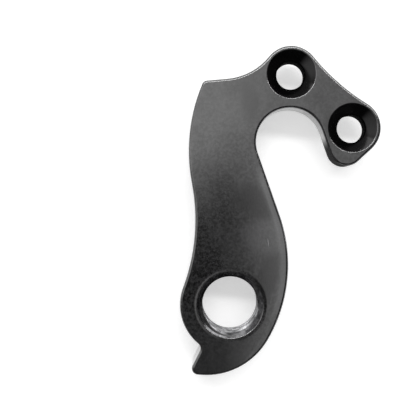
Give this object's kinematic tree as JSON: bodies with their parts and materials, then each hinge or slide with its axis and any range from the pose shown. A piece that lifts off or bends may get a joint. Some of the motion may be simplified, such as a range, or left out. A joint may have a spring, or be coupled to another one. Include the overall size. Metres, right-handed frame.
{
  "type": "derailleur hanger",
  "caption": "Flat curved rear derailleur hanger with a threaded boss, a stop spur, a hooked axle slot and a countersunk screw tab; it joins a bicycle's rear derailleur to its frame.",
  "frame": {"origin": "middle of the derailleur thread, on its axis", "axes": "+Z along the thread out of the front face, +Y up the arm to the axle slot, +X to the screw tab"},
  "size_m": [0.0319, 0.0523, 0.007],
  "materials": {
    "anodised": "satin black anodised, milled"
  },
  "bodies": {
    "root": {"hanger": "anodised"}
  },
  "joints": []
}
